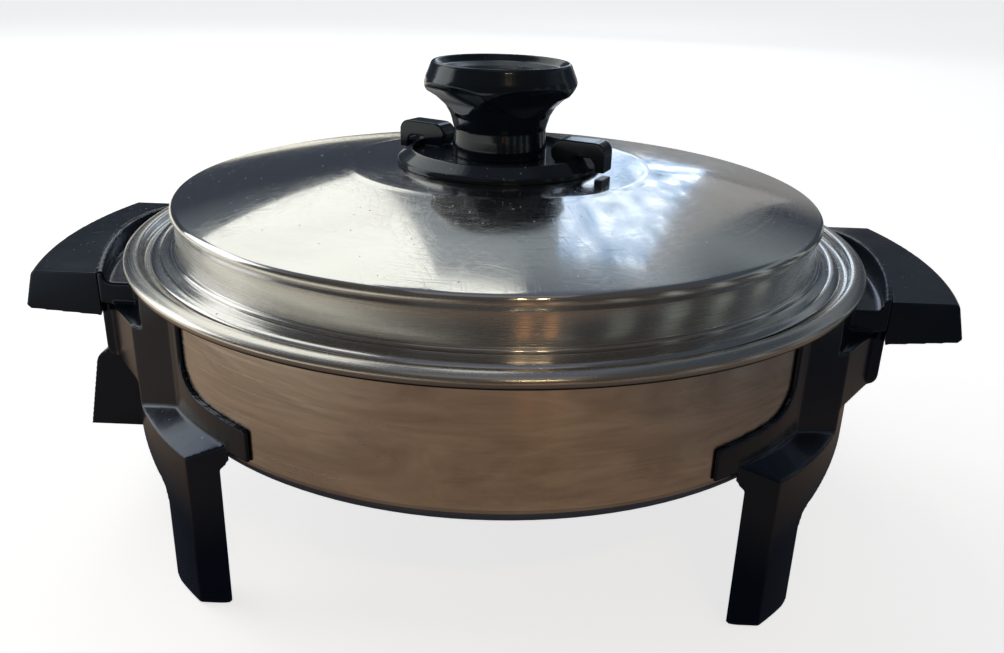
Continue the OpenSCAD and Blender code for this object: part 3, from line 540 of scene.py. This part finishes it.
# From the middle outwards: bore, flat centre, dome, shoulder, band, bead and flange.
lid_face = np.vstack([
    [[LID_BORE, PLATEAU_TOP], [PLATEAU_RADIUS - 2.6, PLATEAU_TOP]],
    dome[:-1],
    arc(DOME_RADIUS - BEND * math.sin(lean), DOME_LOW - BEND * math.cos(lean), BEND,
        90 - math.degrees(lean), BEND_END, 16),
    [[BAND_RADIUS + 0.1, DOME_LOW - 5.6], [BAND_RADIUS, DOME_LOW - 7.5],
     [BAND_RADIUS + 0.05, LID_SEAT + 8.5], [BAND_RADIUS + 0.2, LID_SEAT + 6],
     [BAND_RADIUS + 0.45, LID_SEAT + 4.1]],
    arc(BAND_RADIUS + 0.9, LID_SEAT + 2.7, BEAD, 100, -30, 8),
    [[BAND_RADIUS + 3.2, LID_SEAT + 1.65], [BAND_RADIUS + 6.2, LID_SEAT + LID_SHEET + 0.3]],
    arc(EDGE_RADIUS - 4, edge_bend_z, EDGE_BEND, 110, EDGE_ANGLE, 8)])
lid_outline = rounded(sheet(lid_face, LID_SHEET), LID_EDGE)
lid_outline = divided(np.vstack([lid_outline, lid_outline[:1]]), LID_ROW)[:-1]
lid = turned("lid_dome", lid_outline, LID_AROUND)
lid_steel = steel("polished_lid", (0.67, 0.665, 0.65), (0.61, 0.60, 0.585),
                  roughness=0.035, rough_range=0.12, ring_depth=0.0, scratch_depth=2.6e-6,
                  anisotropy=0.9, few=0.60, across=4200.0, blot=11.0, dusty=0.03,
                  upright=0.15, low=(LID_SEAT + 6.7) / 1000)
dress(lid, lid_steel)
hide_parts("lid_shell")
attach(lid, "lid")

# ---- Seal washer ----
# A punched silicone washer, brick red, pinched between lid and hook plate.
# Its matt face has a fine grain from the mould.

seal_rubber = mineral("seal_silicone", (0.42, 0.17, 0.09), (0.33, 0.12, 0.06), scale=300.0,
                      depth=1e-5)
dress(nodes["seal_washer"], seal_rubber)

# ---- Vent ring, hook plate and knob ----
# Compression-moulded black phenolic. The ring turns under the hooks to open the vent,
# the plate carries two hooks, and the knob is a dished flare with five finger scallops.
# A turned brass bush is moulded into the knob for its screw.

VENT_GRID, HOOK_GRID, KNOB_GRID = 0.0004, 0.00035, 0.00042
knob_black = phenolic("knob_phenolic", (0.013, 0.022, 0.036), roughness=0.10, film=0.05,
                      specks=0.05, ripple=6e-6, sheen=(0.80, 0.90, 1.0))
dress(moulded("vent_ring", VENT_GRID, passes=2), knob_black)
dress(moulded("hook_plate", HOOK_GRID, passes=2), knob_black)
dress(moulded("knob", KNOB_GRID, passes=1), knob_black)
brass = plated("brass", (0.72, 0.52, 0.24), (0.50, 0.36, 0.17), roughness=0.25)
dress(nodes["knob_insert"], brass)

# ---- Studio ----
# A pale floor, a dim room, and soft panels that stand where a room's wall and windows
# would: the polished dome mirrors only what stands behind the skillet.

CAMERA_AT, HEADING, DOWN, ROLL = (0.01225, -0.41276, 0.2422), 1.04, 22.01, 1.77
FLOOR_HALF, FLOOR_GLOW, ROOM_MIDDLE = 9, 0.74, 0.13

scene = bpy.context.scene
scene.view_settings.view_transform = "Standard"

camera_data = bpy.data.cameras.new("camera")
camera_data.lens = 33.78
camera_data.sensor_width = 36.0
camera_data.shift_x, camera_data.shift_y = -0.0027, -0.0017
camera_data.clip_start = 0.01
heading, down, roll = (math.radians(v) for v in (HEADING, DOWN, ROLL))
forward = Vector((-math.sin(heading) * math.cos(down), math.cos(heading) * math.cos(down),
                  -math.sin(down)))
level = Vector((math.cos(heading), math.sin(heading), 0))
upright = level.cross(forward)
right = level * math.cos(roll) + upright * math.sin(roll)
up = upright * math.cos(roll) - level * math.sin(roll)
camera = bpy.data.objects.new("camera", camera_data)
camera.matrix_world = Matrix((
    (right.x, up.x, -forward.x, CAMERA_AT[0]), (right.y, up.y, -forward.y, CAMERA_AT[1]),
    (right.z, up.z, -forward.z, CAMERA_AT[2]), (0, 0, 0, 1)))
scene.collection.objects.link(camera)
scene.camera = camera

floor_mesh = bpy.data.meshes.new("floor")
corners = [(-FLOOR_HALF, -FLOOR_HALF, 0), (FLOOR_HALF, -FLOOR_HALF, 0),
           (FLOOR_HALF, FLOOR_HALF, 0), (-FLOOR_HALF, FLOOR_HALF, 0)]
floor_mesh.from_pydata(corners, [], [(0, 1, 2, 3)])
floor = bpy.data.objects.new("floor", floor_mesh)
scene.collection.objects.link(floor)
floor_paint, tree, shader, here = finish("floor_paint", (0.80, 0.80, 0.79), metallic=0.0,
                                         roughness=0.9, Specular_IOR_Level=0.1)
path = add(tree, "LightPath").outputs
spot = axes(tree, here)
apart = add(tree, "VectorMath", {0: here}, operation="LENGTH").outputs["Value"]
west = product(tree, spot["X"], -1.0)
bearing = math_of(tree, "ARCTAN2", spot["X"], product(tree, spot["Y"], -1.0))
ahead = math_of(tree, "ARCTAN2", spot["X"], spot["Y"])
# In the metal the floor shows as a table with its light and shade painted on: a painted
# shadow under the skillet, brown close by, darker further off, painted cream window light
# on its left side, painted bars of light on its right, and lighter again far behind, below
# the window. Lengths are in metres from the middle and bearings in radians: from the front
# for the bars and lamps, from behind for the sill.
TABLE_SHADOW, BROWN = (0.030, 0.034, 0.045, 1), (0.229, 0.157, 0.106, 1)
BROWN_LIT, FAR_BROWN = (0.31, 0.23, 0.165, 1), (0.082, 0.074, 0.069, 1)
CREAM, RIGHT_SHADE = (1.05, 1.02, 0.87, 1), (0.040, 0.045, 0.058, 1)
BAR_LIGHT, SILL_LIGHT = (0.42, 0.46, 0.40, 1), (0.29, 0.285, 0.28, 1)
LAMP_GLEAM, GLEAM_BEARINGS = (1.5, 0.68, 0.27, 1), (0.178, 0.308)
far = between(tree, apart, 0.445, 0.485)
table = blended(tree, between(tree, west, 0.12, 0.30), BROWN, BROWN_LIT)
# Painted shadow of the skillet on the mirrored table, dark close round the middle.
table = blended(tree, between(tree, apart, 0.19, 0.235), TABLE_SHADOW, table)
table = blended(tree, far, table, FAR_BROWN)
table = blended(tree, product(tree, far, between(tree, west, 0.26, 0.44)), table, CREAM)
table = blended(tree, between(tree, spot["X"], 0.14, 0.34, 0.0, 0.75), table, RIGHT_SHADE)
bars = between(tree, math_of(tree, "SINE", product(tree, bearing, 21.0)), 0.1, 0.5)
bars = product(tree, bars, between(tree, spot["X"], 0.30, 0.40, 0.0, 0.75), far)
table = blended(tree, bars, table, BAR_LIGHT)
sill = product(tree, between(tree, ahead, 0.06, 0.14), between(tree, ahead, 0.38, 0.50, 1.0, 0.0),
               between(tree, spot["Y"], 0.7, 1.3))
table = blended(tree, sill, table, SILL_LIGHT)
# Painted warm spots of the two lamps' light lie on it, towards the front.
for towards in GLEAM_BEARINGS:
    aside = math_of(tree, "ABSOLUTE", math_of(tree, "SUBTRACT", bearing, towards))
    gleam = product(tree, between(tree, aside, 0.008, 0.034, 1.0, 0.0),
                    between(tree, apart, 0.47, 0.56), between(tree, apart, 1.1, 1.6, 1.0, 0.0))
    table = blended(tree, gleam, table, LAMP_GLEAM)
mirrored = path["Is Glossy Ray"]
tree.links.new(blended(tree, mirrored, (0.90, 0.895, 0.885, 1), (0, 0, 0, 1)),
               shader.inputs["Base Color"])
tree.links.new(blended(tree, mirrored, (1, 1, 1, 1), table), shader.inputs["Emission Color"])
seen = product(tree, path["Is Camera Ray"], FLOOR_GLOW)
tree.links.new(total(tree, seen, mirrored), shader.inputs["Emission Strength"])
dress(floor, floor_paint)

# The room that the metal mirrors, by the direction looked in: dark near the horizon, grey
# halfway up, blue-grey above; darker at the upper right, lighter below the window and to
# its right, and brown on the camera's side.
HORIZON, HALFWAY, ABOVE = (0.052, 0.062, 0.082, 1), (0.36, 0.41, 0.44, 1), (0.14, 0.155, 0.195, 1)
UPPER_RIGHT, UNDER_WINDOW = (0.065, 0.080, 0.100, 1), (0.29, 0.285, 0.28, 1)
BEHIND_LOW, BEHIND_HIGH = (0.056, 0.049, 0.044, 1), (0.080, 0.070, 0.062, 1)
world = bpy.data.worlds.new("room")
world.use_nodes = True
scene.world = world
tree = world.node_tree
look = axes(tree, add(tree, "TexCoord").outputs["Generated"])
room = blended(tree, between(tree, look["Z"], 0.25, 0.60), HORIZON, HALFWAY)
room = blended(tree, between(tree, look["Z"], 0.61, 0.71), room, ABOVE)
corner = product(tree, between(tree, look["X"], 0.24, 0.34), between(tree, look["Z"], 0.46, 0.56))
room = blended(tree, corner, room, UPPER_RIGHT)
under = product(tree, between(tree, look["X"], 0.06, 0.14),
                between(tree, look["X"], 0.38, 0.50, 1.0, 0.0),
                between(tree, look["Z"], 0.10, 0.24, 1.0, 0.0))
room = blended(tree, under, room, UNDER_WINDOW)
behind = blended(tree, between(tree, look["Z"], 0.35, 0.60), BEHIND_LOW, BEHIND_HIGH)
room = blended(tree, between(tree, look["Y"], -0.25, 0.20), behind, room)
seen = add(tree, "LightPath").outputs["Is Camera Ray"]
tree.links.new(blended(tree, seen, room, (1, 1, 1, 1)), tree.nodes["Background"].inputs["Color"])


def panel(name, side, rise, away, width, tall, glow, colour):
    """A soft panel: an area light turned to the skillet, at a bearing from +Y, a rise in
    degrees and a distance, with a brightness in watts per square metre and steradian."""
    light = bpy.data.lights.new(name, "AREA")
    light.shape = "RECTANGLE"
    light.size, light.size_y = width, tall
    light.energy = glow * math.pi * width * tall
    light.color = colour
    lamp = bpy.data.objects.new(name, light)
    a, e = math.radians(side), math.radians(rise)
    aim = Vector((math.sin(a) * math.cos(e), math.cos(a) * math.cos(e), math.sin(e)))
    lamp.location = Vector((0, 0, ROOM_MIDDLE)) + aim * away
    lamp.rotation_euler = aim.to_track_quat("Z", "Y").to_euler()
    lamp.visible_camera = False
    scene.collection.objects.link(lamp)


def screen(name, corners, away=2.4, steps=16):
    """Part of a wide dome round the skillet that glows inwards, for the metal to mirror.

    Its corners are bearing and rise in degrees, lower left first and then round; with
    shares u and v between them it lies at away * (sin a cos e, cos a cos e, sin e).
    """
    c = np.radians(np.array(corners, float))
    u, v = np.meshgrid(np.linspace(0, 1, steps + 1), np.linspace(0, 1, steps + 1))
    u, v = u[..., None], v[..., None]
    at = (1 - v) * ((1 - u) * c[0] + u * c[1]) + v * ((1 - u) * c[3] + u * c[2])
    a, e = at[..., 0], at[..., 1]
    points = np.stack([np.sin(a) * np.cos(e), np.cos(a) * np.cos(e), np.sin(e)], axis=-1)
    points = points.reshape(-1, 3) * away + [0, 0, ROOM_MIDDLE]
    k = np.arange(steps)[:, None] * (steps + 1) + np.arange(steps)
    quads = np.stack([k, k + 1, k + steps + 2, k + steps + 1], axis=-1).reshape(-1, 4)
    mesh = bpy.data.meshes.new(name)
    mesh.from_pydata(points.tolist(), [], quads.tolist())
    pane = bpy.data.objects.new(name, mesh)
    pane.visible_camera = False
    scene.collection.objects.link(pane)
    return pane


# A lit wall stands behind on the left, and a strip of it runs on above the window.
WALL_CORNERS = ((-72, 41), (-13.8, 17), (-9.5, 45.5), (-56, 70))
COVE_CORNERS = ((-11.5, 43.5), (3, 46.6), (0, 62), (-14, 64))
WALL_SHADE, WALL_LIT = (0.90, 0.93, 0.86, 1), (1.0, 1.0, 0.95, 1)
wall_paint, tree, shader, here = finish("wall_paint", (0, 0, 0), metallic=0.0,
                                        roughness=1.0, Emission_Strength=1.45)
cloud = noise(tree, here, 1.1, 1.0)
tree.links.new(blended(tree, cloud, WALL_SHADE, WALL_LIT), shader.inputs["Emission Color"])
dress(screen("wall", WALL_CORNERS), wall_paint)
dress(screen("cove", COVE_CORNERS), wall_paint)

# Behind the window stand trees: white sky between blue-green shade.
WINDOW_CORNERS = ((2.6, 6), (15.6, 6), (17, 38), (6.2, 39.5))
DEEP_SHADE, LIGHT_SHADE = (0.20, 0.32, 0.48, 1), (0.52, 0.76, 1.12, 1)
SKY = (1.7, 1.85, 2.0, 1)
window_glass, tree, shader, here = finish("window_glass", (0, 0, 0), metallic=0.0,
                                          roughness=1.0, Emission_Strength=1.25)
leaves = noise(tree, here, 11.0, 4.0, Roughness=0.62)
shade = blended(tree, between(tree, leaves, 0.36, 0.52), DEEP_SHADE, LIGHT_SHADE)
tree.links.new(blended(tree, between(tree, leaves, 0.47, 0.58), shade, SKY),
               shader.inputs["Emission Color"])
dress(screen("window", WINDOW_CORNERS), window_glass)

# A dim strip of wall stands on the window's right.
EDGE_CORNERS = ((15.8, 9), (23.5, 9), (18.0, 42), (16.9, 42))
edge_paint = finish("edge_paint", (0, 0, 0), metallic=0.0, roughness=1.0,
                    Emission_Color=(1.0, 0.99, 0.97, 1), Emission_Strength=0.38)[0]
dress(screen("wall_edge", EDGE_CORNERS), edge_paint)

# More light comes from a window on the left, four panes on the right, a dim ceiling and
# two small warm lamps on the camera's side.
PANE_BEARINGS, LAMP_BEARINGS = (62, 84, 104, 122), (161, 169)
panel("left_window", side=-78, rise=19, away=1.5, width=0.9, tall=0.85, glow=1.9,
      colour=(1.0, 0.985, 0.95))
for k, side in enumerate(PANE_BEARINGS):
    panel(f"right_pane_{k}", side, rise=8, away=1.9, width=0.16, tall=0.8, glow=0.30,
          colour=(0.93, 1.0, 0.93))
panel("ceiling", side=180, rise=72, away=2.2, width=1.5, tall=1.0, glow=0.15,
      colour=(0.86, 0.93, 1.0))
for k, side in enumerate(LAMP_BEARINGS):
    panel(f"lamp_{k}", side, rise=42, away=2.0, width=0.07, tall=0.07, glow=45,
          colour=(1.0, 0.72, 0.40))
